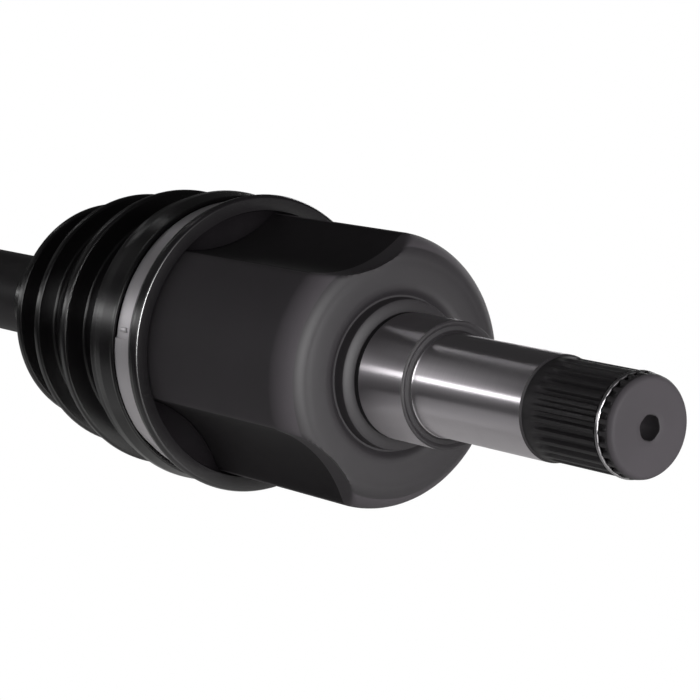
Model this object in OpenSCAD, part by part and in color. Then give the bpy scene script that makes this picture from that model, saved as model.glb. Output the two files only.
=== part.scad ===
// Drive shaft with a sliding tripod joint at one end and a fixed ball joint at the other.
// Millimetres. +X runs along the shaft towards the splined stub of the tripod joint.
// X = 0 is the shoulder where the large journal of that stub begins. One track points to -Z.

/* [Inner stub] */
// Radius of the large (seal) journal
seal_r = 19.7; // [18.5:0.1:21]
// Length of the large journal
seal_len = 21.4; // [16:0.1:26]
// Radius of the small (bearing) journal
brg_r = 15.8; // [15.5:0.1:17]
// Length of the small journal
brg_len = 49.4; // [40:0.1:60]
// Outer radius of the stub's spline
spl_r = 15.2; // [14.4:0.1:15.4]
// Length of the stub's spline, to the end face
spl_len = 36.9; // [28:0.1:44]
// Smooth length before the stub's teeth run out
spl_plain = 3.5; // [2:0.5:6]
// Teeth on the stub's spline
spl_teeth = 28; // [24:1:32]
// Radius of the collar beside the large journal
collar_r = 23.5; // [22:0.1:25]

/* [Tulip] */
// Outer radius over the three tracks
lobe_r = 43.2; // [42.8:0.1:44]
// Depth of the hollow flanks below the lobes
flank_depth = 8.7; // [8:0.1:9]
// Hollow radius of the flanks
flank_r = 42; // [36:1:60]
// Length from the shoulder plane back to the mouth
mouth_x = 104; // [102:0.5:106]
// Distance from the shoulder plane to the inner floor
floor_x = 14; // [13:0.5:16]
// Radius of the round hollow between the tracks
hollow_r = 29; // [28:0.1:29.2]

/* [Tripod] */
// Distance of the joint centre behind the shoulder plane
joint_x = 56.5; // [55:0.5:58]
// Radius of the circle through the roller centres
pitch_r = 27.5; // [27:0.1:28]
// Outer radius of the roller rings
roller_r = 16; // [15.5:0.1:16.4]
// Width of the roller rings
roller_w = 13; // [12.6:0.1:13.4]
// Radius of the ball-shaped trunnion heads
head_r = 8.5; // [8:0.1:8.8]
// Radius of the needles
needle_r = 0.9; // [0.8:0.05:1]
// Needles in each roller
needle_count = 32; // [20:1:36]
// Radius of the spider's hub
hub_r = 17; // [16:0.1:17.4]

/* [Bar] */
// Radius of the bar between the boots
bar_r = 14.4; // [13.5:0.1:14.6]
// Radius of the necks and of the splined ends
neck_r = 12.5; // [12:0.1:12.8]
// Distance between the two joint centres
centre_dist = 373.5; // [340:0.5:450]

/* [Ball joint] */
// Radius of the circle through the ball centres
ball_pitch = 29; // [28.5:0.1:29.5]
// Radius of the balls
ball_r = 8.5; // [8:0.1:8.8]
// Outer radius of the bell
bell_r = 43; // [42.5:0.1:44]
// Length of the bell from the ball joint's centre to the hub's abutment
bell_len = 42; // [41:0.5:46]
// Radius of the journal that centres the wheel hub
pilot_r = 16.5; // [15.5:0.1:17]
// Length of that journal
pilot_len = 12; // [8:0.5:16]
// Radius of the bell stub's spline
hubspl_r = 13.5; // [13:0.1:14.5]
// Length of the bell stub's spline
hubspl_len = 44; // [36:0.5:52]
// Radius of the bell stub's thread
thread_r = 12; // [11:0.1:12.5]
// Length of the bell stub's thread
thread_len = 28; // [26:0.5:34]
// Width of the axle nut over its flats
nut_af = 36; // [32:0.5:38]
// Height of the axle nut's hexagon
nut_h = 16; // [12:0.5:18]

/* [Boots and bands] */
// Width of the large bands
band_w = 8; // [6:0.1:8.2]
// Thickness of the bands
band_t = 0.6; // [0.5:0.05:0.9]
// Wall of the boots
boot_t = 2; // [1.6:0.1:2.4]
// Length of the inner boot from the tulip's mouth to its small end
boot_len = 84; // [82:0.5:90]
// Length of the outer boot from the ball joint's centre to its small end
oboot_len = 66; // [64:0.5:70]

/* [Hidden] */
$fn = 96;
run = 0.05;      // radial clearance of running fits
seat = 0.1;      // clearance between seated pieces
jx = -joint_x;
ox = -joint_x - centre_dist;
end_x = seal_len + brg_len + spl_len;
lobe_dirs = [270, 30, 150];
head_flat = 6;
in_r = head_r + 0.08;
in_out = in_r + 1.85;
needle_pitch = in_out + run + needle_r;
race_r = needle_pitch + needle_r + run;
snap_w = 1;
snap_x = 5.2;
track_half = roller_r + run;
track_top = pitch_r + roller_w/2 + 0.6;
ring_wire = 1;
ring_x = -mouth_x + 4.5;
ring_pitch = 31.5;
flank_d = lobe_r - flank_depth;
m = -mouth_x;
boot_in = lobe_r + 0.8;
band_in = lobe_r + 2.1;
band_x = m + 9.9;
seat_r = bar_r + 0.6;
is = m - boot_len;            // start of the inner boot's small end
os = ox + oboot_len;          // start of the outer boot's small end
olb_x = ox - 0.5 - band_w;
spl_x = seal_len + brg_len;
hub_x = ox - bell_len;        // plane of the hub's abutment
hs_x = hub_x - pilot_len - 2; // start of the hub's spline
th_x = hs_x - hubspl_len - 4; // start of the thread
tip_x = th_x - thread_len;    // threaded tip
function ib(d) = m - d*boot_len/84;   // places along the inner boot
function ob(d) = ox + d*oboot_len/66; // places along the outer boot

// Round profile about the X axis; points are [radius, x].
module revolve(p) rotate([0, 90, 0]) rotate_extrude() polygon(p);
module rod(x0, x1, r) translate([x0, 0, 0]) rotate([0, 90, 0]) cylinder(h = x1 - x0, r = r);
module tube(x0, x1, ro, ri) difference() { rod(x0, x1, ro); rod(x0 - 1, x1 + 1, ri); }
// Section in the YZ plane drawn out along X.
module along(x0, x1) translate([x0, 0, 0]) rotate([90, 0, 90]) linear_extrude(height = x1 - x0) children();
// Frame whose Y axis is the radial direction a, with its centre at x on the shaft's axis.
module radial(a, x) translate([x, 0, 0]) rotate([a, 0, 0]) children();
// Cylinder about the radial axis, from u0 to u1 measured from the axis of the shaft.
module stud(u0, u1, r) rotate([-90, 0, 0]) translate([0, 0, u0]) cylinder(h = u1 - u0, r = r);
// Splined section with n teeth between a root and a tip radius; g is the play.
module splined(n, tip, root, g = 0) {
    polygon([for (i = [0:n - 1]) for (q = [[-0.33, 0], [-0.17, 1], [0.17, 1], [0.33, 0]])
        let (a = 360/n*(i + q[0]*(1 + g)), r = (q[1] == 1 ? tip : root) + g) [r*cos(a), r*sin(a)]]);
}
// Open snap ring of square section with a gap at angle a.
module snap(x0, w, ri, ro, a, gap) difference() {
    tube(x0, x0 + w, ro, ri);
    rotate([a, 0, 0]) translate([x0 - 1, 0, -gap/2]) cube([w + 2, ro + 1, gap]);
}

module tulip_round(play = 0) difference() {
    children();
    for (a = lobe_dirs) radial(a + 60, 0)
        translate([-mouth_x - 5, flank_d + flank_r, 0]) rotate([0, 90, 0]) cylinder(h = mouth_x + 5, r = flank_r - play);
}

module inner_housing() color([0.13, 0.13, 0.14]) difference() {
    union() {
        tulip_round() revolve([[0, -mouth_x], [lobe_r - 0.8, -mouth_x], [lobe_r, -mouth_x + 0.8], [lobe_r, -12.5],
            [lobe_r - 1.2, -9.6], [lobe_r - 4, -7], [lobe_r - 8, -5.2], [collar_r + 3, -4.6], [collar_r + 1.6, -6.4],
            [collar_r, -6.4], [collar_r, -2.8], [collar_r - 1, -1.8], [0, -1.8]]);
        revolve([[0, -3], [seal_r - 0.4, -3], [seal_r - 0.4, 0], [seal_r, 0], [seal_r, seal_len - 0.8],
            [seal_r - 0.8, seal_len], [brg_r, seal_len], [brg_r, spl_x - 0.5], [spl_r - 0.05, spl_x],
            [spl_r - 0.05, spl_x + spl_plain], [spl_r - 1.6, spl_x + spl_plain + 4], [0, spl_x + spl_plain + 4]]);
        intersection() {
            along(spl_x + 1, end_x) splined(spl_teeth, spl_r, spl_r - 1.3);
            revolve([[0, spl_x], [spl_r + 1, spl_x], [spl_r + 1, end_x - 3.6], [spl_r - 1.9, end_x], [0, end_x]]);
        }
    }
    // hollow with three roller tracks
    rod(-mouth_x - 1, -floor_x, hollow_r);
    for (a = lobe_dirs) radial(a, 0) {
        translate([-mouth_x - 1, 20, -track_half]) cube([mouth_x + 0.6 - floor_x, track_top - 20, 2*track_half]);
        translate([-mouth_x - 1, 21, -10]) cube([mouth_x + 0.2 - floor_x, track_top - 18.4, 20]);
    }
    revolve([[0, -mouth_x - 1], [hollow_r + 3.2, -mouth_x - 1], [hollow_r - 0.3, -mouth_x + 13], [0, -mouth_x + 13]]);
    // groove of the stop ring
    tube(ring_x - ring_wire - seat, ring_x + ring_wire + seat, ring_pitch + ring_wire + seat, hollow_r - 1);
    // groove of the stub's ring and the centre drilling
    tube(end_x - 6.6, end_x - 4.4, spl_r + 1, spl_r - 2);
    revolve([[0, end_x + 1], [3.2, end_x + 1], [3.2, end_x], [1.6, end_x - 2.8], [1.6, end_x - 9], [0, end_x - 10]]);
}

// Round wire ring that locks the stub in the gearbox.
module stub_circlip() color([0.72, 0.72, 0.73]) translate([end_x - 5.5, 0, 0]) rotate([0, 90, 0]) difference() {
    rotate_extrude() translate([spl_r - 1, 0]) circle(r = 0.95, $fn = 24);
    translate([0, -2, -3]) cube([20, 4, 6]);
}

module boot_bushing() color([0.05, 0.05, 0.05]) difference() {
    rod(m + 1, m + 22, lobe_r + 0.7);
    tulip_round(seat) rod(m, m + 24, lobe_r + seat);
}

module inner_boot() color([0.04, 0.04, 0.045]) {
    t = boot_t;
    b = band_in - seat;
    s = seat_r + 2.4;
    l = lobe_r;
    revolve([[l + 4.8, m + 25.1], [l + 5.7, m + 24], [l + 5.7, m + 18.3], [b, m + 18.1], [b, m + 9.6],
        [l + 4, m + 9.4], [l + 5.5, m + 3.5], [l + 5.5, m + 1], [l + 4.6, ib(4)], [l + 2.2, ib(6.6)],
        [l - 3.2, ib(10.6)], [l - 3.2, ib(13.8)], [l + 1.8, ib(19.2)], [l + 3.8, ib(21.4)], [l + 3.8, ib(24.2)],
        [l + 1.8, ib(26.6)], [l - 6.2, ib(31.6)], [l - 6.2, ib(35.2)], [l - 1.7, ib(40.9)], [l + 0.3, ib(43)],
        [l + 0.3, ib(45.8)], [l - 1.7, ib(48.2)], [l - 9.7, ib(53)], [l - 9.7, ib(56.6)], [l - 6.7, ib(61.4)],
        [l - 4.8, ib(63.4)], [l - 4.8, ib(66.2)], [l - 6.8, ib(68.6)], [s + 8.1, ib(75)], [s + 5.6, ib(79.5)],
        [s + 1, is - 0.5], [s + 1, is - 4.8], [s, is - 5.2], [s, is - 12.8], [s + 0.8, is - 13.2],
        [s + 0.8, is - 17], [seat_r + seat, is - 17], [seat_r + seat, is], [s + 5.6 - t, ib(77.8)],
        [s + 8.1 - t, ib(73.6)], [l - 6.8 - t, ib(67.2)], [l - 4.8 - t, ib(65.3)], [l - 4.8 - t, ib(64.3)],
        [l - 6.7 - t, ib(62.6)], [l - 9.7 - t, ib(57.4)], [l - 9.7 - t, ib(52.2)], [l - 1.7 - t, ib(47.2)],
        [l + 0.3 - t, ib(44.9)], [l + 0.3 - t, ib(43.9)], [l - 1.7 - t, ib(42.1)], [l - 6.2 - t, ib(36)],
        [l - 6.2 - t, ib(30.8)], [l + 1.8 - t, ib(25.6)], [l + 3.8 - t, ib(23.3)], [l + 3.8 - t, ib(22.3)],
        [l + 1.8 - t, ib(20.4)], [l - 3.2 - t, ib(14.6)], [l - 3.2 - t, ib(9.8)], [l + 2.2 - t, ib(5.4)],
        [boot_in, m - 3], [boot_in, m + 25.1]]);
}

// Flat band with a lapped end and a locking window.
module band(x0, w, ri, a) difference() {
    union() {
        tube(x0, x0 + w, ri + band_t, ri);
        intersection() {
            tube(x0, x0 + w, ri + 2*band_t, ri + band_t/2);
            rotate([a, 0, 0]) translate([x0 - 1, 0, 0]) cube([w + 2, 2*ri, ri*1.1]);
            rotate([a - 40, 0, 0]) translate([x0 - 1, 0, 0]) cube([w + 2, 2*ri, 2*ri]);
        }
        rotate([a - 4, 0, 0]) translate([x0 + w/2 - 1.2, ri + band_t/2, -1.5]) cube([2.4, band_t*1.2, 3]);
    }
    rotate([a + 10, 0, 0]) translate([x0 + w/2 - 1.4, ri + band_t, -2.5]) cube([2.8, 4, 5]);
}

module inner_large_clamp() color([0.6, 0.6, 0.6]) band(band_x, band_w, band_in, 170);
module inner_small_clamp() color([0.6, 0.6, 0.6]) band(is - 12.5, 7, seat_r + 2.5, 170);

module tulip_stop_ring() color([0.5, 0.5, 0.5]) translate([ring_x, 0, 0]) rotate([0, 90, 0]) difference() {
    rotate_extrude() translate([ring_pitch, 0]) circle(r = ring_wire, $fn = 24);
    translate([20, -3, -3]) cube([20, 6, 6]);
}

module spider() color([0.42, 0.42, 0.44]) difference() {
    union() {
        revolve([[0, jx - 11], [hub_r - 1.2, jx - 11], [hub_r, jx - 9.8], [hub_r, jx + 9.8], [hub_r - 1.2, jx + 11], [0, jx + 11]]);
        for (a = lobe_dirs) radial(a, jx) {
            stud(hub_r - 4, pitch_r, head_r - 2.3);
            intersection() {
                translate([0, pitch_r, 0]) rotate([-90, 0, 0]) sphere(r = head_r);
                stud(pitch_r - head_flat, pitch_r + head_flat - 0.6, head_r + 1);
            }
        }
    }
    along(jx - 12, jx + 12) splined(26, neck_r, neck_r - 0.9, seat);
}

module spider_circlip() color([0.35, 0.35, 0.36]) snap(jx + 11.1, 1.5, neck_r - 1.3, neck_r + 1.8, 90, 5);
module spider_stop_ring() color([0.35, 0.35, 0.36]) snap(jx - 12.6, 1.5, neck_r - 1.3, neck_r + 1.8, 90, 5);

module roller(a) color([0.66, 0.66, 0.67]) radial(a, jx) difference() {
    rotate([-90, 0, 0]) rotate_extrude() polygon([[race_r, pitch_r - roller_w/2], [roller_r - 1, pitch_r - roller_w/2],
        [roller_r, pitch_r - roller_w/2 + 1], [roller_r, pitch_r + roller_w/2 - 1], [roller_r - 1, pitch_r + roller_w/2],
        [race_r, pitch_r + roller_w/2]]);
    for (u = [pitch_r - snap_x - snap_w - 0.05, pitch_r + snap_x - 0.05]) stud(u, u + snap_w + 0.1, race_r + 0.9);
}
module roller_1() roller(lobe_dirs[0]);
module roller_2() roller(lobe_dirs[1]);
module roller_3() roller(lobe_dirs[2]);

module inner_ring(a) color([0.7, 0.7, 0.71]) radial(a, jx) difference() {
    stud(pitch_r - 5, pitch_r + 5, in_out);
    stud(pitch_r - 6, pitch_r + 6, in_r);
}
module inner_ring_1() inner_ring(lobe_dirs[0]);
module inner_ring_2() inner_ring(lobe_dirs[1]);
module inner_ring_3() inner_ring(lobe_dirs[2]);

module needles(a) color([0.75, 0.75, 0.76]) radial(a, jx) for (i = [0:needle_count - 1])
    rotate([0, 360/needle_count*i, 0]) translate([needle_pitch, 0, 0]) stud(pitch_r - 4.9, pitch_r + 4.9, needle_r, $fn = 16);
module needles_1() needles(lobe_dirs[0]);
module needles_2() needles(lobe_dirs[1]);
module needles_3() needles(lobe_dirs[2]);

module snap_rings(a) color([0.3, 0.3, 0.32]) radial(a, jx) for (u = [pitch_r - snap_x - snap_w, pitch_r + snap_x]) difference() {
    stud(u, u + snap_w, race_r + 0.8);
    stud(u - 1, u + snap_w + 1, in_r + 0.8);
    translate([0, u - 1, -2]) cube([20, snap_w + 2, 4]);
}
module snap_rings_1() snap_rings(lobe_dirs[0]);
module snap_rings_2() snap_rings(lobe_dirs[1]);
module snap_rings_3() snap_rings(lobe_dirs[2]);

module shaft_bar() color([0.16, 0.16, 0.17]) difference() {
    union() {
        along(jx - 18, jx + 15.4) splined(26, neck_r - seat, neck_r - 0.9 - seat);
        rod(jx + 15.3, jx + 16.4, neck_r - 1.4);
        revolve([[0, jx - 17], [neck_r - 1, jx - 17], [neck_r, jx - 18.5], [neck_r, is + 22], [bar_r, is + 10], [bar_r, is - 1],
            [seat_r, is - 2], [seat_r, is - 16], [bar_r, is - 17], [bar_r, os + 17], [seat_r, os + 16], [seat_r, os + 2],
            [bar_r, os + 1], [bar_r, os - 8], [neck_r, os - 20], [neck_r, ox + 20.5], [neck_r - 1, ox + 19], [0, ox + 19]]);
        along(ox - 17.4, ox + 20) splined(26, neck_r - seat, neck_r - 0.9 - seat);
        rod(ox - 18.4, ox - 17.3, neck_r - 1.4);
    }
    for (x = [jx + 11, jx - 12.7, ox - 14.7, ox + 13.1]) tube(x, x + 1.7, neck_r + 1, neck_r - 1.4);
}

module ball_race() color([0.45, 0.45, 0.47]) difference() {
    intersection() {
        translate([ox, 0, 0]) rotate([0, 90, 0]) sphere(r = ball_pitch - 4.1);
        rod(ox - 13, ox + 13, ball_pitch);
    }
    along(ox - 14, ox + 14) splined(26, neck_r, neck_r - 0.9, seat);
    for (a = [30:60:330]) radial(a, ox) rotate([0, 0, 48]) rotate_extrude(angle = 84) translate([ball_pitch, 0]) circle(r = ball_r + 0.9);
}

module race_circlip() color([0.35, 0.35, 0.36]) snap(ox - 14.6, 1.5, neck_r - 1.3, neck_r + 1.8, 90, 5);
module race_stop_ring() color([0.35, 0.35, 0.36]) snap(ox + 13.2, 1.5, neck_r - 1.3, neck_r + 1.8, 90, 5);

module ball_cage() color([0.5, 0.5, 0.51]) difference() {
    intersection() {
        translate([ox, 0, 0]) rotate([0, 90, 0]) sphere(r = ball_pitch + 3.2);
        rod(ox - 14, ox + 14, ball_pitch + 5);
    }
    translate([ox, 0, 0]) rotate([0, 90, 0]) sphere(r = ball_pitch - 3.8);
    for (a = [30:60:330]) radial(a, ox) translate([-ball_r - run, 10, -9.5]) cube([2*ball_r + 2*run, 30, 19]);
}

module balls() color([0.8, 0.8, 0.81]) for (a = [30:60:330]) radial(a, ox) translate([0, ball_pitch, 0]) sphere(r = ball_r);

module bell() color([0.13, 0.13, 0.14]) difference() {
    union() {
        revolve([[0, ox + 13], [bell_r - 1, ox + 13], [bell_r, ox + 12], [bell_r, ox - 26], [bell_r - 2, ox - 30],
            [bell_r - 13, hub_x + 2], [24, hub_x], [pilot_r + 0.5, hub_x], [pilot_r, hub_x - 0.5],
            [pilot_r, hub_x - pilot_len], [pilot_r - 0.6, hub_x - pilot_len - 0.6], [hubspl_r - 0.9, hs_x],
            [hubspl_r - 0.9, hs_x - hubspl_len], [thread_r - 0.6, hs_x - hubspl_len - 1], [thread_r - 0.6, th_x],
            [thread_r, th_x - 0.6], [thread_r, tip_x + 1.2], [thread_r - 1.2, tip_x], [0, tip_x]]);
        intersection() {
            along(hs_x - hubspl_len, hs_x + 1) splined(30, hubspl_r, hubspl_r - 1);
            revolve([[0, hs_x - hubspl_len - 1], [hubspl_r - 1, hs_x - hubspl_len - 1], [hubspl_r + 0.5, hs_x - hubspl_len + 1.5],
                [hubspl_r + 0.5, hs_x], [hubspl_r - 1, hs_x + 2], [0, hs_x + 2]]);
        }
    }
    translate([ox, 0, 0]) rotate([0, 90, 0]) sphere(r = ball_pitch + 3.5);
    for (a = [30:60:330]) radial(a, ox) rotate([0, 0, 48]) rotate_extrude(angle = 82) translate([ball_pitch, 0]) circle(r = ball_r + 0.9);
    revolve([[0, ox + 5], [ball_pitch + 2.5, ox + 5], [ball_pitch + 5, ox + 14], [0, ox + 14]]);
    // centre drilling at the threaded end
    revolve([[0, tip_x - 1], [2.8, tip_x - 1], [2.8, tip_x], [1.4, tip_x + 2.4], [1.4, tip_x + 8], [0, tip_x + 9]]);
}

module outer_boot() color([0.04, 0.04, 0.045]) {
    t = boot_t;
    b = bell_r + 0.1;
    s = seat_r + 2.4;
    l = bell_r;
    revolve([[b, ox - 12], [b + 4, ox - 12], [b + 4.6, ox - 11], [b + 4.6, ox - 9], [b + 2, ox - 8.8], [b + 2, ox - 0.2],
        [b + 4.6, ox], [b + 4.6, ob(14)], [b + 3, ob(17.5)], [l - 7, ob(23)], [l - 7, ob(25)], [l - 2, ob(29.5)],
        [l - 0.5, ob(31)], [l - 0.5, ob(32.6)], [l - 2, ob(34.2)], [l - 11, ob(38.4)], [l - 11, ob(40.4)], [l - 7, ob(43.8)],
        [l - 5.6, ob(45.2)], [l - 5.6, ob(46.8)], [l - 7, ob(48.2)], [l - 16, ob(52.4)], [l - 16, ob(54)],
        [l - 13, ob(56.8)], [l - 12, ob(58)], [l - 12, ob(59.4)], [l - 13.4, ob(61)], [s + 1, os], [s + 1, os + 2.4],
        [s, os + 2.8], [s, os + 10.6], [s + 0.8, os + 11], [s + 0.8, os + 14.6], [seat_r + seat, os + 14.6],
        [seat_r + seat, os - 0.6], [l - 13.4 - t, ob(60)], [l - 12 - t, ob(59)], [l - 12 - t, ob(58.4)],
        [l - 13 - t, ob(57.6)], [l - 16 - t, ob(54.8)], [l - 16 - t, ob(51.6)], [l - 7 - t, ob(47.2)],
        [l - 5.6 - t, ob(46.2)], [l - 5.6 - t, ob(45.8)], [l - 7 - t, ob(44.8)], [l - 11 - t, ob(41.2)],
        [l - 11 - t, ob(37.6)], [l - 2 - t, ob(33.2)], [l - 0.5 - t, ob(32)], [l - 0.5 - t, ob(31.6)],
        [l - 2 - t, ob(30.5)], [l - 7 - t, ob(25.8)], [l - 7 - t, ob(22)], [b, ob(17.4)], [b, ob(14)], [b, ox + 5]]);
}

module outer_large_clamp() color([0.6, 0.6, 0.6]) band(olb_x, band_w, bell_r + 2.2, 170);
module outer_small_clamp() color([0.6, 0.6, 0.6]) band(os + 3.2, 7, seat_r + 2.5, 170);

module axle_nut() color([0.55, 0.55, 0.56]) difference() {
    union() {
        along(tip_x + 6, tip_x + 6 + nut_h) circle(d = nut_af/cos(30), $fn = 6);
        rod(tip_x + 6 + nut_h, tip_x + 9.5 + nut_h, nut_af/2 + 4);
    }
    rod(tip_x + 5, tip_x + 10 + nut_h, thread_r + seat);
    revolve([[thread_r, tip_x + 7.4], [thread_r + 1.4, tip_x + 5.9], [thread_r, tip_x + 5.9]]);
}

inner_housing();
stub_circlip();
boot_bushing();
inner_boot();
inner_large_clamp();
inner_small_clamp();
tulip_stop_ring();
spider();
spider_circlip();
spider_stop_ring();
roller_1();
roller_2();
roller_3();
inner_ring_1();
inner_ring_2();
inner_ring_3();
needles_1();
needles_2();
needles_3();
snap_rings_1();
snap_rings_2();
snap_rings_3();
shaft_bar();
ball_race();
race_circlip();
race_stop_ring();
ball_cage();
balls();
bell();
outer_boot();
outer_large_clamp();
outer_small_clamp();
axle_nut();
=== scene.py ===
import math
import bmesh, bpy
from mathutils import Matrix, Vector


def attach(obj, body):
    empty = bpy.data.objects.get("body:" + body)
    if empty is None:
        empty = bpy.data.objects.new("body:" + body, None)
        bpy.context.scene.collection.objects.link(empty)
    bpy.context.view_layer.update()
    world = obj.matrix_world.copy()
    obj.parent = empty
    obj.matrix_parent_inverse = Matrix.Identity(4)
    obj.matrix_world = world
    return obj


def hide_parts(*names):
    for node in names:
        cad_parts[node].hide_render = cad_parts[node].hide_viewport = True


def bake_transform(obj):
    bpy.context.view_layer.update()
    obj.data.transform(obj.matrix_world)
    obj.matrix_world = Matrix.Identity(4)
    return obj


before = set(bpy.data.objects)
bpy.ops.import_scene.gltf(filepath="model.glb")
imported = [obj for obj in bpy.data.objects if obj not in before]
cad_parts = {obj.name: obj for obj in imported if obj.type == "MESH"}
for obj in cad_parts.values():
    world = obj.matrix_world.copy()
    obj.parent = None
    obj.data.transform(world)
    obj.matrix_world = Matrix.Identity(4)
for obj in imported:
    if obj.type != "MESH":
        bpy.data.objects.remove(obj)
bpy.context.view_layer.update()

# The camera
# It stands ahead of the splined stub and to its left, close enough for the stub to look
# large. The shaft lies rolled by about 15 degrees, so the camera's upright leans too.
camera_data = bpy.data.cameras.new("camera")
camera_data.sensor_width = 36.0
camera_data.lens = 148.63
camera_data.clip_start, camera_data.clip_end = 0.02, 60.0
camera = bpy.data.objects.new("camera", camera_data)
bpy.context.scene.collection.objects.link(camera)
eye = Vector((0.68434, -0.48299, 0.27757))
ahead = Vector((-0.789182, 0.534759, -0.302035)).normalized()
roll = math.radians(14.68)
upright = Vector((0.0, math.sin(roll), math.cos(roll)))
across = ahead.cross(upright).normalized()
axes = Matrix((across, across.cross(ahead), -ahead)).transposed().to_4x4()
camera.matrix_world = Matrix.Translation(eye) @ axes
bpy.context.scene.camera = camera
bpy.context.scene.view_settings.view_transform = "Standard"


# The studio
# A pale floor well below the hanging shaft and a white sheet far behind it. A small box in
# front of the stub, a long strip over the near side and dim fill light black rubber and
# ground steel, as in a product photographer's studio.
def linear(code):
    """An sRGB hex colour as linear light, opaque."""
    parts = [int(code[i:i + 2], 16) / 255 for i in (0, 2, 4)]
    return [c / 12.92 if c <= 0.04045 else ((c + 0.055) / 1.055) ** 2.4 for c in parts] + [1.0]


def add(tree, kind, values=None, links=None, into=None, **settings):
    """One node with its settings, its socket values, what feeds it and the socket it feeds."""
    made = tree.nodes.new(kind)
    for key, value in settings.items():
        setattr(made, key, value)
    for key, value in (values or {}).items():
        made.inputs[key].default_value = value
    for key, source in (links or {}).items():
        tree.links.new(source, made.inputs[key])
    if into:
        tree.links.new(made.outputs[0], into)
    return made


# where the sheet hangs behind the shaft, and the cosines to that way at its edge and middle
sheet_way, sheet_edge, sheet_middle = (-0.789, 0.535, -0.302), 0.86, 0.99
# how much of full white gloss mirrors of the sheet, of the floor and of the rest of the room
sheet_gloss, floor_gloss, room_gloss = 0.22, 0.12, 0.03


def seen_white(tree, towards, elsewhere):
    """How far a ray is shown white: all of it to the camera and through glass, and in gloss a
    share where it runs towards the sheet, or else the smaller share elsewhere."""
    path = add(tree, "ShaderNodeLightPath").outputs
    plain = add(tree, "ShaderNodeMath", links={0: path["Is Camera Ray"], 1: path["Is Transmission Ray"]},
                operation="MAXIMUM")
    facing = add(tree, "ShaderNodeVectorMath", {1: sheet_way}, {0: towards}, operation="DOT_PRODUCT")
    share = add(tree, "ShaderNodeMapRange",
                {"From Min": sheet_edge, "From Max": sheet_middle, "To Min": elsewhere, "To Max": sheet_gloss},
                {"Value": facing.outputs["Value"]})
    return add(tree, "ShaderNodeMath",
               links={0: path["Is Glossy Ray"], 1: share.outputs[0], 2: plain.outputs[0]},
               operation="MULTIPLY_ADD", use_clamp=True).outputs[0]


room = bpy.data.worlds.new("studio_room")
room.use_nodes = True
bpy.context.scene.world = room
air = room.node_tree
air.nodes.clear()
dim = add(air, "ShaderNodeBackground", {"Color": linear("ffffff"), "Strength": 0.03})
sheet = add(air, "ShaderNodeBackground", {"Color": linear("ffffff"), "Strength": 1.0})
skyward = add(air, "ShaderNodeTexCoord").outputs["Generated"]
surroundings = add(air, "ShaderNodeOutputWorld").inputs["Surface"]
add(air, "ShaderNodeMixShader", into=surroundings,
    links={0: seen_white(air, skyward, room_gloss), 1: dim.outputs[0], 2: sheet.outputs[0]})

floor_size, floor_z = 12.0, -0.90
bm = bmesh.new()
bmesh.ops.create_grid(bm, x_segments=8, y_segments=8, size=floor_size / 2, matrix=Matrix.Translation((0, 0, floor_z)))
floor_mesh = bpy.data.meshes.new("floor")
bm.to_mesh(floor_mesh)
bm.free()
floor = bpy.data.objects.new("floor", floor_mesh)
bpy.context.scene.collection.objects.link(floor)
paper = bpy.data.materials.new("matt_paper_sheet")
paper.use_nodes = True
tree = paper.node_tree
tree.nodes.clear()
matt = add(tree, "ShaderNodeBsdfDiffuse", {"Color": linear("d8d8d6")})
glow = add(tree, "ShaderNodeEmission", {"Color": linear("ffffff"), "Strength": 1.0})
spot = add(tree, "ShaderNodeNewGeometry").outputs["Position"]
from_shaft = add(tree, "ShaderNodeVectorMath", links={0: spot}, operation="NORMALIZE").outputs[0]
surface = add(tree, "ShaderNodeOutputMaterial").inputs["Surface"]
add(tree, "ShaderNodeMixShader", into=surface,
    links={0: seen_white(tree, from_shaft, floor_gloss), 1: matt.outputs[0], 2: glow.outputs[0]})
floor_mesh.materials.append(paper)


def soft_box(name, place, aim, width, height, watts):
    """An area lamp at place that looks at aim, its width lying along the shaft as far as it can."""
    lamp = bpy.data.lights.new(name, "AREA")
    lamp.shape = "RECTANGLE"
    lamp.size, lamp.size_y, lamp.energy = width, height, watts
    obj = bpy.data.objects.new(name, lamp)
    bpy.context.scene.collection.objects.link(obj)
    out = (Vector(place) - Vector(aim)).normalized()
    side = Vector((1, 0, 0))
    side = (side - out * side.dot(out)).normalized()
    obj.matrix_world = Matrix.Translation(place) @ Matrix((side, out.cross(side), out)).transposed().to_4x4()


# Front, rear and side box aim at the housing. The others reach far to the wheel side,
# because what the journals mirror towards the camera comes from there.
housing, wheel_side = (0.0, 0.0, 0.0), (-1.80, 0.0, 0.0)
soft_box("front_box", (2.70, -0.09, 0.12), housing, width=0.5, height=0.5, watts=152)
soft_box("long_strip", (-2.40, -1.33, 0.74), (-2.40, 0.0, 0.0), width=7.2, height=0.20, watts=21)
soft_box("rear_box", (-0.80, 1.90, -0.10), housing, width=1.6, height=0.9, watts=18)
soft_box("side_box", (1.15, -0.98, 0.60), housing, width=0.5, height=0.5, watts=5)
soft_box("low_box", (-1.80, -1.40, -0.50), wheel_side, width=2.8, height=0.9, watts=3.5)
soft_box("overhead_strip", (-1.80, 0.20, 1.50), wheel_side, width=2.8, height=0.04, watts=1.6)
soft_box("soft_fill", (-1.80, -0.62, 1.40), wheel_side, width=2.8, height=0.6, watts=0.7)


# Tulip housing with its stub
# One forging in carbon steel: three lobes over the roller tracks with hollow flanks
# between them, black coated. The journals are ground bright and the spline is hobbed.
def wear(node, made):
    """The CAD node wears the material in place of its own."""
    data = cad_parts[node].data
    data.materials.clear()
    data.materials.append(made)


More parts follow.
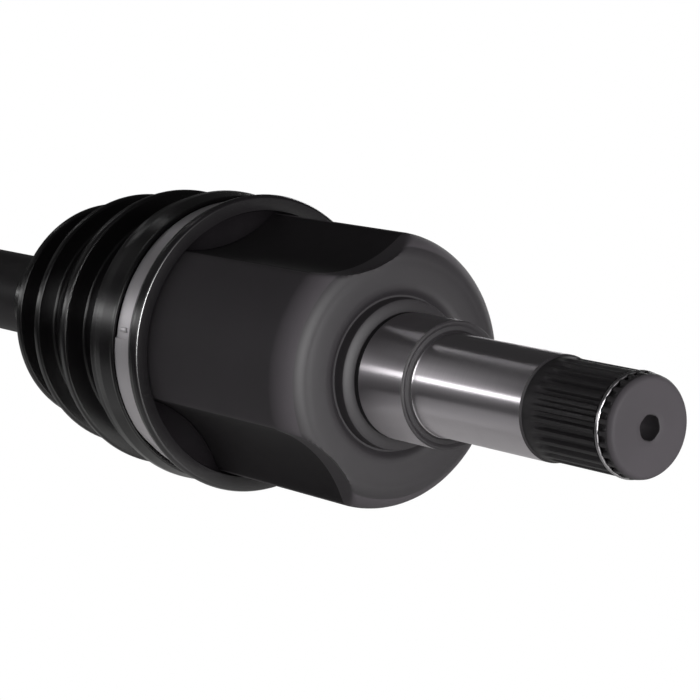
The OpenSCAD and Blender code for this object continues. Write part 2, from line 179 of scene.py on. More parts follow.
def finish(name, even):
    """A material named for its finish, with its even values on the shader's own sockets."""
    made = bpy.data.materials.new(name)
    made.use_nodes = True
    tree = made.node_tree
    shader = tree.nodes["Principled BSDF"]
    for socket, value in even.items():
        shader.inputs[socket].default_value = value
    return made, tree, shader, add(tree, "ShaderNodeTexCoord").outputs["Object"]


def piece(name, bm, *materials, sharp=35):
    """A finished mesh object in the shaft's frame, smooth but for edges over sharp degrees."""
    bmesh.ops.recalc_face_normals(bm, faces=bm.faces)
    data = bpy.data.meshes.new(name)
    bm.to_mesh(data)
    bm.free()
    for m in materials:
        data.materials.append(m)
    data.shade_smooth()
    data.set_sharp_from_angle(angle=math.radians(sharp))
    obj = bpy.data.objects.new(name, data)
    bpy.context.scene.collection.objects.link(obj)
    return obj


def first_ring(bm, count, place):
    """The ring that a drawn form starts from, each vertex put where place says for its angle."""
    ring = bmesh.ops.create_circle(bm, segments=count, radius=0.02, matrix=Matrix.Rotation(math.pi / 2, 4, "Y"))
    for v in ring["verts"]:
        v.co = place(math.atan2(v.co.z, v.co.y))
    return list(bm.edges)


def stepped(bm, edges, place):
    """The next ring of a drawn form: the open loop is drawn on and put where place says."""
    drawn = bmesh.ops.extrude_edge_only(bm, edges=edges)["geom"]
    for v in drawn:
        if isinstance(v, bmesh.types.BMVert):
            v.co = place(math.atan2(v.co.z, v.co.y))
    return [e for e in drawn if isinstance(e, bmesh.types.BMEdge) and e.is_boundary]


def polar(x, r, a):
    return Vector((x, r * math.cos(a), r * math.sin(a)))


# the lobes, how near a hollow flank comes to the axis, and the flank's own radius
lobe_r, hollow_near, hollow_r = 0.0432, 0.0345, 0.042
mouth, inner_floor = -0.104, -0.014
hollow_dirs = [math.radians(a) for a in (90, 210, 330)]
seal_journal_r, bearing_journal_r, spline_r, spline_root_r = 0.0197, 0.0158, 0.0152, 0.0139
seal_journal_end, spline_start, tip = 0.0214, 0.0708, 0.1077
teeth, tooth_squareness = 28, 3.2
edge_round = 0.0018


def turn_from(a, dirs):
    """The angle from a to the nearest of the directions."""
    return min((abs((a - d + math.pi) % (2 * math.pi) - math.pi) for d in dirs))


def soft_min(a, b, k):
    """The smaller of two radii, with the corner between them rounded over k."""
    h = max(k - abs(a - b), 0.0) / k
    return min(a, b) - h * h * k / 4


def flank(a):
    """Distance from the axis to the hollow flanks in the direction a, or far out over a lobe."""
    d = turn_from(a, hollow_dirs)
    c = hollow_near + hollow_r
    left = hollow_r ** 2 - (c * math.sin(d)) ** 2
    return c * math.cos(d) - math.sqrt(left) if left > 0 and d < 1 else 0.2


def tulip_outline(a, r, k=edge_round):
    return soft_min(r, flank(a), k)


def tooth(a):
    """Radius of the hobbed teeth: rounded crests and roots."""
    t = (a * teeth / (2 * math.pi)) % 1.0
    wave = math.tanh(tooth_squareness * math.cos(2 * math.pi * t)) / math.tanh(tooth_squareness)
    return spline_root_r + (spline_r - spline_root_r) * (0.5 + 0.5 * wave)


def track_wall(a):
    """Radius of the housing's inside in the direction a: a round core with three tracks,
    each with straight walls and a narrower relief in its roof."""
    r = 0.029
    for lobe in (30, 150, 270):
        d = turn_from(a, [math.radians(lobe)])
        if d < math.radians(75):
            for roof, half_width in ((0.0346, 0.01605), (0.0372, 0.010)):
                r = max(r, min(roof / math.cos(d), half_width / max(math.sin(d), 1e-6)))
    return r


# twelve steps round each tooth
bm = bmesh.new()
edges = first_ring(bm, 12 * teeth, lambda a: polar(inner_floor, 0.0005, a))
bmesh.ops.contextual_create(bm, geom=edges)
# the inside, out to the mouth, with the groove of the stop ring: along, least radius
for x, least in ((inner_floor, 0), (-0.0985, 0), (-0.0985, 0.0326), (-0.1007, 0.0326), (-0.1007, 0), (mouth, 0.0322)):
    edges = stepped(bm, edges, lambda a: polar(x, max(track_wall(a), least), a))
for x, r in ((mouth, lobe_r - 0.0008), (mouth + 0.0004, lobe_r - 0.0002), (mouth + 0.0008, lobe_r)):
    edges = stepped(bm, edges, lambda a: polar(x, tulip_outline(a, r), a))
lobe_steps, lobe_length = 12, 0.0892
for i in range(1, lobe_steps + 1):
    x = mouth + 0.0008 + lobe_length * i / lobe_steps
    edges = stepped(bm, edges, lambda a: polar(x, tulip_outline(a, lobe_r), a))
# the softly rounded shoulder of the lobes, along which the flanks' edges grow crisp
shoulder_steps, shoulder_x, shoulder_deep, shoulder_high = 14, -0.0140, 0.0088, 0.0086
for i in range(1, shoulder_steps + 1):
    t = i / shoulder_steps * math.pi / 2
    x, r = shoulder_x + shoulder_deep * math.sin(t), lobe_r - shoulder_high + shoulder_high * math.cos(t)
    edges = stepped(bm, edges, lambda a: polar(x, tulip_outline(a, r, edge_round - 0.0014 * i / shoulder_steps), a))
# the nearly flat front face, the dished ring round the stub and the collar
front_face = ((-0.00515, 0.0344), (-0.0050, 0.0325), (-0.0047, 0.0285), (-0.0048, 0.0268), (-0.0052, 0.0258),
              (-0.0059, 0.0250), (-0.0064, 0.0243), (-0.0064, 0.0237), (-0.0060, 0.0235), (-0.0034, 0.0235),
              (-0.0028, 0.0233), (-0.0024, 0.0227), (-0.0021, 0.0210), (-0.0019, 0.0201), (-0.0019, 0.0195))
for x, r in front_face:
    edges = stepped(bm, edges, lambda a: polar(x, min(r, flank(a)), a))
# the journal for the seal, the undercut step face and the journal for the bearing
end, large, small = seal_journal_end, seal_journal_r, bearing_journal_r
journals = ((0.0, 0.0195), (0.0002, large), (end - 0.0004, large), (end - 0.0001, large - 0.0004),
            (end, large - 0.0006), (end, large - 0.0008), (end - 0.0006, large - 0.0018),
            (end - 0.0005, small + 0.0009), (end, small + 0.0003), (end + 0.0002, small + 0.0001),
            (end + 0.0004, small), (spline_start - 0.0005, small), (spline_start, spline_r))
for x, r in journals:
    edges = stepped(bm, edges, lambda a: polar(x, r, a))
# a smooth lead, then hobbed teeth that grow to their full depth: along, share of the depth
for x, depth in ((0.0741, 0.0), (0.0752, 0.25), (0.0764, 0.55), (0.0778, 0.8), (0.0794, 0.95), (0.0815, 1.0),
                 (0.0912, 1.0), (0.10105, 1.0), (0.1011, 1.0)):
    edges = stepped(bm, edges, lambda a: polar(x, spline_r + (tooth(a) - spline_r) * depth, a))
# the groove of the locking ring, then the soft ends of the teeth and the rounded rim
for x, r in ((0.1011, 0.0132), (0.1033, 0.0132)):
    edges = stepped(bm, edges, lambda a: polar(x, r, a))
tooth_ends = ((0.1033, 0.0152, 0.95), (0.1036, 0.0152, 0.9), (0.1044, 0.0151, 0.8), (0.1052, 0.0150, 0.55),
              (0.1058, 0.0149, 0.25), (0.1063, 0.0148, 0.05), (0.1068, 0.01455, 0.0), (0.1073, 0.0142, 0.0),
              (0.1076, 0.0137, 0.0), (tip, 0.0132, 0.0))
for x, r, depth in tooth_ends:
    edges = stepped(bm, edges, lambda a: polar(x, min(r, spline_r + (tooth(a) - spline_r) * depth), a))
# the end face and the centre drilling, whose mouth is a rounded hexagon
drilling = ((tip, 0.0125), (tip, 0.0060), (tip, 0.0040), (tip - 0.0002, 0.0037), (tip - 0.0010, 0.0036),
            (tip - 0.0050, 0.0034), (tip - 0.0085, 0.0010), (tip - 0.0088, 0.0003))
for x, r in drilling:
    edges = stepped(bm, edges, lambda a: polar(x, r * (1 - 0.03 * math.cos(6 * a)) if 0.003 < r < 0.0041 else r, a))
bmesh.ops.contextual_create(bm, geom=edges)
bmesh.ops.remove_doubles(bm, verts=bm.verts, dist=1e-7)
# which finish each face wears: 0 coated, 1 ground, 2 black oxide, on the collar painted shade, 3 coated flank with
# painted shade
for face in bm.faces:
    c = face.calc_center_median()
    r = math.hypot(c.y, c.z)
    if seal_journal_end - 0.0007 < c.x < seal_journal_end + 0.0001 and r < seal_journal_r - 0.0001:
        face.material_index = 2
    elif 0 < c.x < spline_start - 0.0006 and r > 0.0150:
        face.material_index = 1
    # the hollow flanks wear the darker coat, painted shade in the hollows
    elif mouth < c.x < inner_floor and r > 0.0340 and flank(math.atan2(c.z, c.y)) < lobe_r - 0.0004:
        face.material_index = 3
    # the spline and the centre drilling are black oxide; the collar and the front face within 6.5 mm of the journal
    # take it too, as painted shade round the stub
    elif spline_start - 0.0006 <= c.x < tip - 0.0012 or c.x > spline_start and r < 0.0039 or -0.0065 < c.x < 0:
        face.material_index = 2

# Hot-forged steel under a satin black coat, which shows as soft grey patches of about
# 22 mm and a fine orange-peel grain of 0.4 mm.
forged, tree, shader, where = finish("satin_black_coated_forging", {"Specular IOR Level": 0.08})
patch = add(tree, "ShaderNodeTexNoise", {"Scale": 45, "Detail": 3, "Roughness": 0.5}, {"Vector": where}).outputs["Fac"]
tone = add(tree, "ShaderNodeValToRGB", links={"Fac": patch}, into=shader.inputs["Base Color"])
tone.color_ramp.elements[0].color, tone.color_ramp.elements[1].color = linear("2d2b2d"), linear("353235")
add(tree, "ShaderNodeMapRange", {"To Min": 0.56, "To Max": 0.64}, {"Value": patch}, into=shader.inputs["Roughness"])
grain = add(tree, "ShaderNodeTexNoise", {"Scale": 2500, "Detail": 2}, {"Vector": where}).outputs["Fac"]
add(tree, "ShaderNodeBump", {"Strength": 0.5, "Distance": 0.01e-3}, {"Height": grain}, into=shader.inputs["Normal"])

# The hollow flanks keep a forged scale of about 8 mm under a rougher coat, so they look
# duller; their darker colour is painted shade in the hollows.
flank_coat_painted_shade, tree, shader, where = finish("coated_flank_painted_shade", {"Roughness": 0.72, "Specular IOR Level": 0.08})
scale = add(tree, "ShaderNodeTexNoise", {"Scale": 120, "Detail": 4, "Roughness": 0.6}, {"Vector": where}).outputs["Fac"]
tone = add(tree, "ShaderNodeValToRGB", links={"Fac": scale}, into=shader.inputs["Base Color"])
tone.color_ramp.elements[0].color, tone.color_ramp.elements[1].color = linear("131113"), linear("1a181a")
add(tree, "ShaderNodeBump", {"Strength": 0.5, "Distance": 0.02e-3}, {"Height": scale}, into=shader.inputs["Normal"])

# Ground steel: the wheel leaves fine rings round the journal, which draw light out into
# streaks along it. They are drawn 0.11 mm apart, coarser than they are, so that they show.
ground, tree, shader, where = finish(
    "ground_journal_steel", {"Metallic": 1.0, "Roughness": 0.30, "Anisotropic": 1.0, "Anisotropic Rotation": 0.25})
wheel_rings = add(tree, "ShaderNodeMapping", {"Scale": (9000, 60, 60)}, {"Vector": where}).outputs[0]
lines = add(tree, "ShaderNodeTexNoise", {"Scale": 1.0, "Detail": 2}, {"Vector": wheel_rings}).outputs["Fac"]
tone = add(tree, "ShaderNodeValToRGB", links={"Fac": lines}, into=shader.inputs["Base Color"])
tone.color_ramp.elements[0].color, tone.color_ramp.elements[1].color = linear("a09ca0"), linear("b2aeb2")
add(tree, "ShaderNodeTangent", into=shader.inputs["Tangent"], direction_type="RADIAL", axis="X")
add(tree, "ShaderNodeBump", {"Strength": 0.3, "Distance": 0.002e-3}, {"Height": lines}, into=shader.inputs["Normal"])

# Hobbed steel in oiled black oxide with a fine tooth of 0.3 mm: the crests are rubbed a
# little brighter in spots of about 5 mm.
black_oxide, tree, shader, where = finish("oiled_black_oxide_spline", {"Roughness": 0.55, "Specular IOR Level": 0.25})
rub = add(tree, "ShaderNodeTexNoise", {"Scale": 220, "Detail": 3}, {"Vector": where}).outputs["Fac"]
crest = add(tree, "ShaderNodeNewGeometry").outputs["Pointiness"]
edge = add(tree, "ShaderNodeMapRange", {"From Min": 0.50, "From Max": 0.60}, {"Value": crest}).outputs[0]
amount = add(tree, "ShaderNodeMath", links={0: edge, 1: rub}, operation="MULTIPLY").outputs[0]
tone = add(tree, "ShaderNodeValToRGB", links={"Fac": amount}, into=shader.inputs["Base Color"])
tone.color_ramp.elements[0].color, tone.color_ramp.elements[1].color = linear("1a181a"), linear("2b292b")
fine = add(tree, "ShaderNodeTexNoise", {"Scale": 3000, "Detail": 2}, {"Vector": where}).outputs["Fac"]
add(tree, "ShaderNodeBump", {"Strength": 0.5, "Distance": 0.006e-3}, {"Height": fine}, into=shader.inputs["Normal"])

tulip = piece("tulip_and_stub", bm, forged, ground, black_oxide, flank_coat_painted_shade)
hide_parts("inner_housing")
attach(tulip, "tulip")


# Locking ring of the stub
# Round spring wire sprung into the groove near the stub's tip; it snaps behind the side
# gear. Bright drawn wire with draw marks of about 1 mm, as are the rings of both joints.
wire, tree, shader, where = finish("drawn_spring_wire", {"Metallic": 1.0, "Roughness": 0.3})
draw_marks = add(tree, "ShaderNodeTexNoise", {"Scale": 900, "Detail": 2}, {"Vector": where}).outputs["Fac"]
tone = add(tree, "ShaderNodeValToRGB", links={"Fac": draw_marks}, into=shader.inputs["Base Color"])
tone.color_ramp.elements[0].color, tone.color_ramp.elements[1].color = linear("6f6d6f"), linear("959395")
for spring in ("tulip_stop_ring", "spider_circlip", "spider_stop_ring", "race_circlip", "race_stop_ring"):
    wear(spring, wire)
wire_r, ring_x, ring_r, gap_at, gap = 0.0006, 0.1022, 0.0149, math.radians(300), math.radians(14)
bm = bmesh.new()
section = Matrix.Translation((ring_x, ring_r, 0))
wire_end = bmesh.ops.create_circle(bm, cap_ends=True, segments=16, radius=wire_r, matrix=section)["verts"]
bmesh.ops.rotate(bm, verts=wire_end, cent=(0, 0, 0), matrix=Matrix.Rotation(gap_at + gap / 2, 3, "X"))
bmesh.ops.spin(bm, geom=bm.faces[:], cent=(0, 0, 0), axis=(1, 0, 0), angle=2 * math.pi - gap, steps=96)
locking_ring = piece("stub_locking_ring", bm, wire)
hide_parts("stub_circlip")
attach(locking_ring, "tulip")


# Boot bushing
# Rubber filler pressed over the three-lobed mouth, round outside so that the boot and its
# band can clamp on a circle. Its end shows as a fillet in the hollow flanks.

# Moulded rubber, nearly black and glossy, with a faint bloom in patches of about 17 mm and
# a mould skin of 0.6 mm. The boots are of the same rubber.
rubber, tree, shader, where = finish("moulded_boot_rubber", {"Specular IOR Level": 0.45})
bloom = add(tree, "ShaderNodeTexNoise", {"Scale": 60, "Detail": 4, "Roughness": 0.6}, {"Vector": where}).outputs["Fac"]
tone = add(tree, "ShaderNodeValToRGB", links={"Fac": bloom}, into=shader.inputs["Base Color"])
tone.color_ramp.elements[0].color, tone.color_ramp.elements[1].color = linear("080708"), linear("0e0c0e")
add(tree, "ShaderNodeMapRange", {"To Min": 0.22, "To Max": 0.29}, {"Value": bloom}, into=shader.inputs["Roughness"])
skin = add(tree, "ShaderNodeTexNoise", {"Scale": 1800, "Detail": 2}, {"Vector": where}).outputs["Fac"]
add(tree, "ShaderNodeBump", {"Strength": 0.4, "Distance": 0.008e-3}, {"Height": skin}, into=shader.inputs["Normal"])

seat_r, bushing_back, clearance = 0.0438, -0.1030, 0.00008
bm = bmesh.new()
edges = first_ring(bm, 240, lambda a: polar(bushing_back, seat_r, a))
# the round seat, the fillet down to the flanks and the bore that fits them: along, share of the seat
for x, out in ((-0.0810, 1.0), (-0.0800, 0.97), (-0.0806, 0.80), (-0.0814, 0.45), (-0.0818, 0.18), (-0.0821, 0.03),
               (-0.0825, 0.0), (bushing_back, 0.0)):
    edges = stepped(bm, edges, lambda a: polar(x, (tulip_outline(a, lobe_r) + clearance) * (1 - out) + seat_r * out, a))
bmesh.ops.bridge_loops(bm, edges=[e for e in bm.edges if e.is_boundary])
bushing = piece("boot_filler", bm, rubber)
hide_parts("boot_bushing")
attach(bushing, "tulip")


# Inner boot
# One moulding in black rubber: a thick lip and band seat on the bushing, a ridged
# shoulder, three bellows waves that shrink towards the bar, and a small cuff.
def rounded(points, steps=5):
    """A drawn profile with its corners rounded; a point is mm along, mm out and its own radius."""
    out = []
    for i, (x, r, f) in enumerate(points):
        corner = Vector((x, r))
        if f <= 0 or i in (0, len(points) - 1):
            out.append(corner)
            continue
        back, on = Vector(points[i - 1][:2]) - corner, Vector(points[i + 1][:2]) - corner
        half = back.angle(on) / 2
        reach = min(f / math.tan(half), 0.49 * back.length, 0.49 * on.length)
        f = reach * math.tan(half)
        centre = corner + (back.normalized() + on.normalized()).normalized() * f / math.sin(half)
        start, end = corner + back.normalized() * reach - centre, corner + on.normalized() * reach - centre
        for k in range(steps + 1):
            out.append(centre + start.slerp(end, k / steps) if start.angle(end) > 0.01 else corner)
    return out


def turned(points):
    """A closed wall turned about the shaft's axis from its profile in millimetres."""
    bm = bmesh.new()
    profile = [bm.verts.new((p.x / 1000, 0, p.y / 1000)) for p in rounded(points)]
    drawn = [bm.edges.new(pair) for pair in zip(profile, profile[1:])]
    drawn.append(bm.edges.new((profile[-1], profile[0])))
    bmesh.ops.spin(bm, geom=profile + drawn, cent=(0, 0, 0), axis=(1, 0, 0), angle=2 * math.pi, steps=144,
                   use_merge=True)
    bmesh.ops.remove_doubles(bm, verts=bm.verts, dist=2e-7)
    return bm


# The wall is made in two lengths that meet in the wide middle valley. Outside: lip, band
# seat, shoulder, deep valley, first wave.
split = -137.4
front_wall = [(-78.9, 43.95, 0), (-78.9, 48.2, 0.7), (-80.2, 48.9, 0.9), (-82.2, 48.9, 1.2), (-84.0, 47.6, 0.8),
              (-85.5, 46.1, 0.3), (-85.7, 45.3, 0.2), (-94.4, 45.3, 0.3), (-94.8, 47.0, 0.6), (-96.2, 47.3, 0.8),
              (-100.2, 48.6, 1.2), (-103.0, 48.7, 1.2), (-104.6, 46.9, 0.9), (-106.4, 46.9, 0.9), (-107.8, 47.1, 1.0),
              (-109.4, 46.4, 1.4), (-114.2, 39.4, 2.2), (-124.6, 38.6, 2.0), (-124.9, 46.7, 1.0), (-127.4, 47.0, 1.2),
              (-129.4, 44.8, 2.0), (-134.0, 40.9, 1.9), (split, 40.4, 0)]
# inside, back to the bushing
front_wall += [(split, 38.6, 0), (-133.6, 39.2, 1.2), (-128.4, 43.0, 1.0), (-127.2, 44.8, 0.5), (-126.8, 44.7, 0.4),
               (-126.5, 36.7, 1.0), (-113.8, 37.4, 1.2), (-109.4, 43.4, 1.2), (-107.0, 43.95, 0)]
front_boot = piece("inner_boot_front", turned(front_wall), rubber, sharp=60)
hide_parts("inner_boot")
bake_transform(front_boot)

# outside: second and third wave, cone, band seat and cuff
rear_wall = [(split, 40.4, 0), (-146.9, 36.0, 1.6), (-147.2, 43.3, 1.0), (-149.5, 43.6, 1.1), (-151.8, 40.8, 2.0),
             (-156.6, 33.0, 1.9), (-167.0, 31.6, 1.6), (-167.6, 38.1, 1.0), (-169.9, 38.5, 1.1), (-172.2, 36.0, 2.2),
             (-178.6, 26.0, 3.0), (-183.5, 23.0, 2.0), (-188.0, 18.8, 0.6), (-192.9, 18.6, 0.5), (-193.2, 17.4, 0.3),
             (-200.8, 17.4, 0.3), (-201.2, 18.2, 0.4), (-205.0, 18.2, 0.5)]
# inside, from the bore on the bar back to the valley
rear_wall += [(-205.0, 15.1, 0), (-188.0, 15.1, 0.5), (-181.8, 21.0, 1.5), (-177.6, 23.5, 1.5), (-171.1, 34.0, 1.2),
              (-169.8, 36.3, 0.5), (-169.4, 36.0, 0.3), (-168.8, 29.6, 0.9), (-156.2, 31.0, 1.2), (-150.8, 39.0, 1.2),
              (-149.4, 41.4, 0.5), (-149.0, 41.2, 0.3), (-148.7, 34.0, 1.0), (split, 38.6, 0)]
rear_boot = piece("inner_boot_rear", turned(rear_wall), rubber, sharp=60)
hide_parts("inner_boot")
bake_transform(rear_boot)


# Boot bands
# Stainless strip laid round the boot and over itself, hooked through a window and pulled
# tight, a large one for the boot's seat and a small one for its cuff.

# The strip is rolled, so its marks run round it and spread the light. They are drawn
# 0.17 mm apart, coarser than they are, so that they show.
stainless, tree, shader, where = finish(
    "rolled_stainless_strip", {"Metallic": 1.0, "Roughness": 0.50, "Anisotropic": 0.5, "Anisotropic Rotation": 0.25})
rolled = add(tree, "ShaderNodeMapping", {"Scale": (6000, 90, 90)}, {"Vector": where}).outputs[0]
marks = add(tree, "ShaderNodeTexNoise", {"Scale": 1.0, "Detail": 3}, {"Vector": rolled}).outputs["Fac"]
tone = add(tree, "ShaderNodeValToRGB", links={"Fac": marks}, into=shader.inputs["Base Color"])
tone.color_ramp.elements[0].color, tone.color_ramp.elements[1].color = linear("aaa7aa"), linear("bfbcbf")
add(tree, "ShaderNodeTangent", into=shader.inputs["Tangent"], direction_type="RADIAL", axis="X")
add(tree, "ShaderNodeBump", {"Strength": 0.3, "Distance": 0.003e-3}, {"Height": marks}, into=shader.inputs["Normal"])

strip_thick, strip_edge, hook_size = 0.0006, 0.00012, (0.0034, 0.0010, 0.0016)
outer_end, lap, ramp, hook_back = (math.radians(a) for a in (159.5, 38, 14, 3.6))


def strap(name, node, body, start_x, width, radius):
    """A strip wound once round and on over itself, its outer end on top."""
    bm = bmesh.new()
    half, rim, thick = width / 2, strip_edge, strip_thick
    middle = start_x + half
    corners = [(-half, rim), (-half + rim, 0), (half - rim, 0), (half, rim), (half, thick - rim), (half - rim, thick),
               (-half + rim, thick), (-half, thick - rim)]
    ring = [bm.verts.new(polar(middle + u, radius + thick + h, outer_end)) for u, h in corners]
    edges = list(bm.faces.new(ring).edges)
    count = 150
    lowered = 0.0
    for i in range(1, count + 1):
        drawn = bmesh.ops.extrude_edge_only(bm, edges=edges)["geom"]
        turn = (2 * math.pi + lap) / count * i
        # the first turn lies on top over the lap, then comes down on the boot along a ramp
        t = min(max((turn - lap) / ramp, 0.0), 1.0)
        drop = thick * t * t * (3 - 2 * t)
        for v in drawn:
            if isinstance(v, bmesh.types.BMVert):
                v.co = polar(v.co.x, math.hypot(v.co.y, v.co.z) + lowered - drop, outer_end + turn)
        lowered = drop
        edges = [e for e in drawn if isinstance(e, bmesh.types.BMEdge) and e.is_boundary]
    bmesh.ops.contextual_create(bm, geom=edges)
    # the under layer's pressed hook, which stands in the window just short of the outer end
    stand = Matrix.Translation((middle, radius + thick + 0.00015, 0))
    place = Matrix.Rotation(outer_end - hook_back, 4, "X") @ stand @ Matrix.Diagonal((*hook_size, 1))
    hook = bmesh.ops.create_cube(bm, size=1, matrix=place)["verts"]
    bmesh.ops.bevel(bm, geom=list({e for v in hook for e in v.link_edges}), offset=0.00022, segments=2, profile=0.5,
                    affect="EDGES", material=-1)
    made = piece(name, bm, stainless)
    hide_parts(node)
    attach(made, body)


strap("inner_large_band", "inner_large_clamp", "tulip", start_x=-0.0941, width=0.0080, radius=0.0453)
strap("inner_small_band", "inner_small_clamp", "bar", start_x=-0.2005, width=0.0070, radius=0.0175)


# Bar
# Solid steel bar, turned, hardened and painted satin black. The paint lies in soft clouds
# of about 14 mm and follows the turning marks, 0.45 mm apart. The CAD's own solid stays.
bar_paint, tree, shader, where = finish("satin_black_bar_paint", {"Roughness": 0.50, "Specular IOR Level": 0.12})
wear("shaft_bar", bar_paint)
mist = add(tree, "ShaderNodeTexNoise", {"Scale": 70, "Detail": 3}, {"Vector": where}).outputs["Fac"]
tone = add(tree, "ShaderNodeValToRGB", links={"Fac": mist}, into=shader.inputs["Base Color"])
tone.color_ramp.elements[0].color, tone.color_ramp.elements[1].color = linear("1a181a"), linear("222022")
turning = add(tree, "ShaderNodeMapping", {"Scale": (2200, 30, 30)}, {"Vector": where}).outputs[0]
feed = add(tree, "ShaderNodeTexNoise", {"Scale": 1.0, "Detail": 2}, {"Vector": turning}).outputs["Fac"]
add(tree, "ShaderNodeBump", {"Strength": 0.4, "Distance": 0.006e-3}, {"Height": feed}, into=shader.inputs["Normal"])


# Outer boot and bands
# The same rubber as the inner boot, shorter and steeper, clamped on the bell's rim and on
# the bar. Its profile is in millimetres from the ball joint's centre.
ball_x = -430.0
# outside, from the bell's rim over three waves to the cuff
outer_wall = [(-12.0, 43.1, 0), (-12.0, 47.0, 0.5), (-11.0, 47.7, 0.8), (-9.0, 47.7, 0.6), (-8.8, 45.1, 0.3),
              (-0.2, 45.1, 0.3), (0.0, 47.7, 0.6), (14.0, 47.7, 2.5), (17.6, 45.6, 2.0), (22.6, 36.0, 2.0),
              (25.6, 36.0, 2.0), (29.6, 41.8, 2.6), (31.8, 43.5, 1.8), (34.0, 41.8, 2.6), (38.0, 32.0, 2.0),
              (40.8, 32.0, 2.0), (44.0, 36.8, 2.4), (46.0, 38.3, 1.7), (48.0, 36.8, 2.4), (52.0, 27.0, 2.0),
              (54.4, 27.0, 2.0), (57.0, 30.6, 2.0), (58.7, 31.8, 1.5), (60.8, 30.4, 2.0), (65.6, 18.9, 1.0),
              (68.4, 18.6, 0.4), (68.8, 17.4, 0.3), (76.6, 17.4, 0.3), (77.0, 18.2, 0.4), (80.6, 18.2, 0.5)]
# inside, back to the bell
outer_wall += [(80.6, 15.1, 0), (65.4, 15.1, 0), (60.0, 27.6, 1.2), (58.6, 28.6, 0.8), (57.4, 27.8, 1.2),
               (54.6, 25.0, 1.0), (51.4, 25.0, 1.0), (47.2, 34.0, 1.2), (46.0, 35.0, 0.9), (44.8, 34.0, 1.2),
               (41.2, 30.0, 1.0), (37.6, 30.0, 1.0), (33.2, 39.0, 1.2), (31.8, 40.1, 0.9), (30.5, 39.0, 1.2),
               (25.8, 34.0, 1.0), (22.0, 34.0, 1.0), (17.4, 43.1, 0)]
outer_boot = piece("outer_boot_skin", turned([(ball_x + x, r, f) for x, r, f in outer_wall]), rubber, sharp=60)
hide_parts("outer_boot")
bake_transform(outer_boot)
strap("outer_large_band", "outer_large_clamp", "bell", start_x=-0.4385, width=0.0080, radius=0.0452)
strap("outer_small_band", "outer_small_clamp", "bar", start_x=-0.3608, width=0.0070, radius=0.0175)


# Bell
# The ball joint's outer race: a forged cup with six ground ball tracks inside, and a stub
# with hub journal, spline and thread. Coated black outside, ground where the hub sits.
ball_dirs = [math.radians(a) for a in range(30, 360, 60)]
cup_r, ball_circle, track_r = 32.5, 29.0, 9.4
hub_teeth, hub_root, hub_depth, hub_squareness = 30, 12.6, 0.9, 3


def from_ball(x, r, a):
    """A place in the ball joint's own millimetres, along from its centre."""
    return polar((ball_x + x) / 1000, r / 1000, a)


def cup(a, x):
    """Radius of the bell's inside: a ball-shaped hollow, opened to a cone at the rim, with six
    round tracks whose middle line is a circle about the joint's centre."""
    r = max(math.sqrt(cup_r ** 2 - x * x), 31.5 + (x - 5) * 2.5 / 9 if x > 4.9 else 0)
    d = turn_from(a, ball_dirs)
    if x > -24.5 and d < 0.45:
        # the track's wall in this direction, found by going nearer in eight steps
        g = 38.0
        for _ in range(8):
            s = min(g * math.sin(d) / math.hypot(x, g), 0.32)
            far = ball_circle * math.sqrt(1 - s * s) + math.sqrt(track_r ** 2 - (ball_circle * s) ** 2)
            g = math.sqrt(max(far ** 2 - x * x, 1))
        r = max(r, g)
    return r


def hub_tooth(a):
    t = (a * hub_teeth / (2 * math.pi)) % 1.0
    wave = math.tanh(hub_squareness * math.cos(2 * math.pi * t)) / math.tanh(hub_squareness)
    return hub_root + hub_depth * (0.5 + 0.5 * wave)


# twelve steps round each tooth, and the inside from its floor to the rim
bm = bmesh.new()
edges = first_ring(bm, 12 * hub_teeth, lambda a: from_ball(-32.0, 0.5, a))
bmesh.ops.contextual_create(bm, geom=edges)
for x in (-31.5, -29.5, -27.0, -24.6, -24.4, -20.0, -15.0, -10.0, -5.0, 0.0, 4.9, 9.0, 13.0):
    edges = stepped(bm, edges, lambda a: from_ball(x, cup(a, x), a))
# the outside: rim, cup, back, the hub's abutment and its journal
outside = rounded([(13, 41, 0), (13, 43, 1.0), (-26.5, 43, 5), (-30.5, 40.5, 4), (-39.8, 30, 3), (-41.6, 24.6, 1.2),
                   (-42, 23.5, 0.4), (-42, 17.4, 0.4), (-42.7, 16.5, 0.3), (-53.6, 16.5, 0.3), (-54.6, 15.7, 0.4),
                   (-55.8, 13.5, 0.3), (-57.5, 13.5, 0)])
for p in outside:
    edges = stepped(bm, edges, lambda a: from_ball(p.x, p.y, a))
crest_r = hub_root + hub_depth
for x, depth in ((-58.5, 0.3), (-59.6, 0.7), (-61.0, 1.0), (-98.4, 1.0)):
    edges = stepped(bm, edges, lambda a: from_ball(x, crest_r + (hub_tooth(a) - crest_r) * depth, a))
for x, r in ((-99.6, 12.8), (-100.6, 11.4), (-104.0, 11.4)):
    edges = stepped(bm, edges, lambda a: from_ball(x, min(r, hub_tooth(a)), a))
# the thread, drawn as rings of its real pitch, and the centre drilling at its end
thread_start, thread_rings, pitch = -104.6, 17, 1.5
for i in range(thread_rings):
    for share, r in ((0.0, 11.2), (0.38, 11.98), (0.55, 11.98)):
        edges = stepped(bm, edges, lambda a: from_ball(thread_start - pitch * (i + share), r, a))
for x, r in ((-130.4, 11.2), (-131.6, 11.0), (-132.0, 10.6), (-132.0, 2.9), (-131.7, 2.7), (-129.6, 1.4), (-124.0, 1.4),
             (-123.4, 0.3)):
    edges = stepped(bm, edges, lambda a: from_ball(x, r, a))
bmesh.ops.contextual_create(bm, geom=edges)
# which finish each face wears: 0 coated, 1 ground, 2 black oxide
for face in bm.faces:
    c = face.calc_center_median()
    x, r = c.x * 1000 - ball_x, math.hypot(c.y, c.z) * 1000
    if -54.8 < x < -42.2 and r > 15 or -24.6 < x < 12.8 and r < 38.8 or -33 < x < 0 and r < 31:
        face.material_index = 1
    elif x <= -54.8:
        face.material_index = 2
bell = piece("bell_forging", bm, forged, ground, black_oxide)
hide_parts("bell")
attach(bell, "bell")


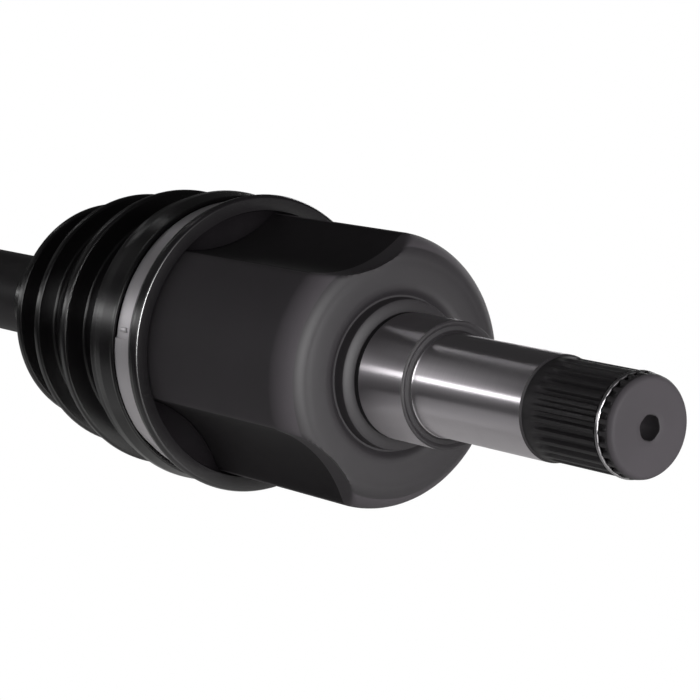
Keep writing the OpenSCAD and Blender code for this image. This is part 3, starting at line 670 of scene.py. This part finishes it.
# Axle nut
# Flanged hexagon nut of forged steel, zinc plated, which pulls the hub on to the bell's
# shoulder. The plating is a dull bright grey with spangles of about 3 mm.
zinc, tree, shader, where = finish("zinc_plated_nut_steel", {"Metallic": 1.0, "Roughness": 0.36})
spangle = add(tree, "ShaderNodeTexNoise", {"Scale": 350, "Detail": 3}, {"Vector": where}).outputs["Fac"]
tone = add(tree, "ShaderNodeValToRGB", links={"Fac": spangle}, into=shader.inputs["Base Color"])
tone.color_ramp.elements[0].color, tone.color_ramp.elements[1].color = linear("8b8c8e"), linear("a9aaab")
add(tree, "ShaderNodeBump", {"Strength": 0.2, "Distance": 0.01e-3}, {"Height": spangle}, into=shader.inputs["Normal"])

flats = [math.radians(a) for a in range(0, 360, 60)]
bore, half_across_flats = 12.1, 18.0
bm = bmesh.new()
edges = first_ring(bm, 180, lambda a: from_ball(-106.5, bore + 0.3, a))
# the flange, the chamfered hexagon, then the bore from its outer mouth back to the flange
for x, r in ((-106.5, 21.3), (-106.9, 21.9), (-108.0, 22.0), (-108.9, 21.8), (-110.4, 19.6), (-110.8, 19.3)):
    edges = stepped(bm, edges, lambda a: from_ball(x, r, a))
for x, r in ((-111.0, 21.0), (-124.4, 21.0), (-125.2, 19.8), (-126.0, 17.9)):
    edges = stepped(bm, edges, lambda a: from_ball(x, min(r, half_across_flats / math.cos(turn_from(a, flats))), a))
for x, r in ((-126.0, 13.4), (-124.9, bore), (-107.0, bore), (-106.5, bore + 0.3)):
    edges = stepped(bm, edges, lambda a: from_ball(x, r, a))
bmesh.ops.remove_doubles(bm, verts=bm.verts, dist=1e-6)
nut = piece("flanged_axle_nut", bm, zinc, sharp=30)
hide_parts("axle_nut")
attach(nut, "bell")


# Rolling parts inside both joints
# Balls, rollers, needles and their rings in bearing steel, lapped until they mirror, with
# only traces of 0.7 mm. Their CAD solids stay.
polished, tree, shader, where = finish("lapped_bearing_steel", {"Metallic": 1.0, "Roughness": 0.14})
lapping = add(tree, "ShaderNodeTexNoise", {"Scale": 1500, "Detail": 2}, {"Vector": where}).outputs["Fac"]
tone = add(tree, "ShaderNodeValToRGB", links={"Fac": lapping}, into=shader.inputs["Base Color"])
tone.color_ramp.elements[0].color, tone.color_ramp.elements[1].color = linear("b9babc"), linear("c8c9ca")
for node in ["balls"] + [kind + n for kind in ("roller_", "inner_ring_", "needles_", "snap_rings_") for n in "123"]:
    wear(node, polished)


# Spider, ball race and cage
# Forged steel, case hardened and then ground: darker and duller than the rolling parts,
# with temper clouds of about 2.5 mm. Their CAD solids stay.
hardened, tree, shader, where = finish("ground_hardened_steel", {"Metallic": 1.0, "Roughness": 0.34})
temper = add(tree, "ShaderNodeTexNoise", {"Scale": 400, "Detail": 3}, {"Vector": where}).outputs["Fac"]
tone = add(tree, "ShaderNodeValToRGB", links={"Fac": temper}, into=shader.inputs["Base Color"])
tone.color_ramp.elements[0].color, tone.color_ramp.elements[1].color = linear("6f7073"), linear("88898c")
for node in ("spider", "ball_race", "ball_cage"):
    wear(node, hardened)
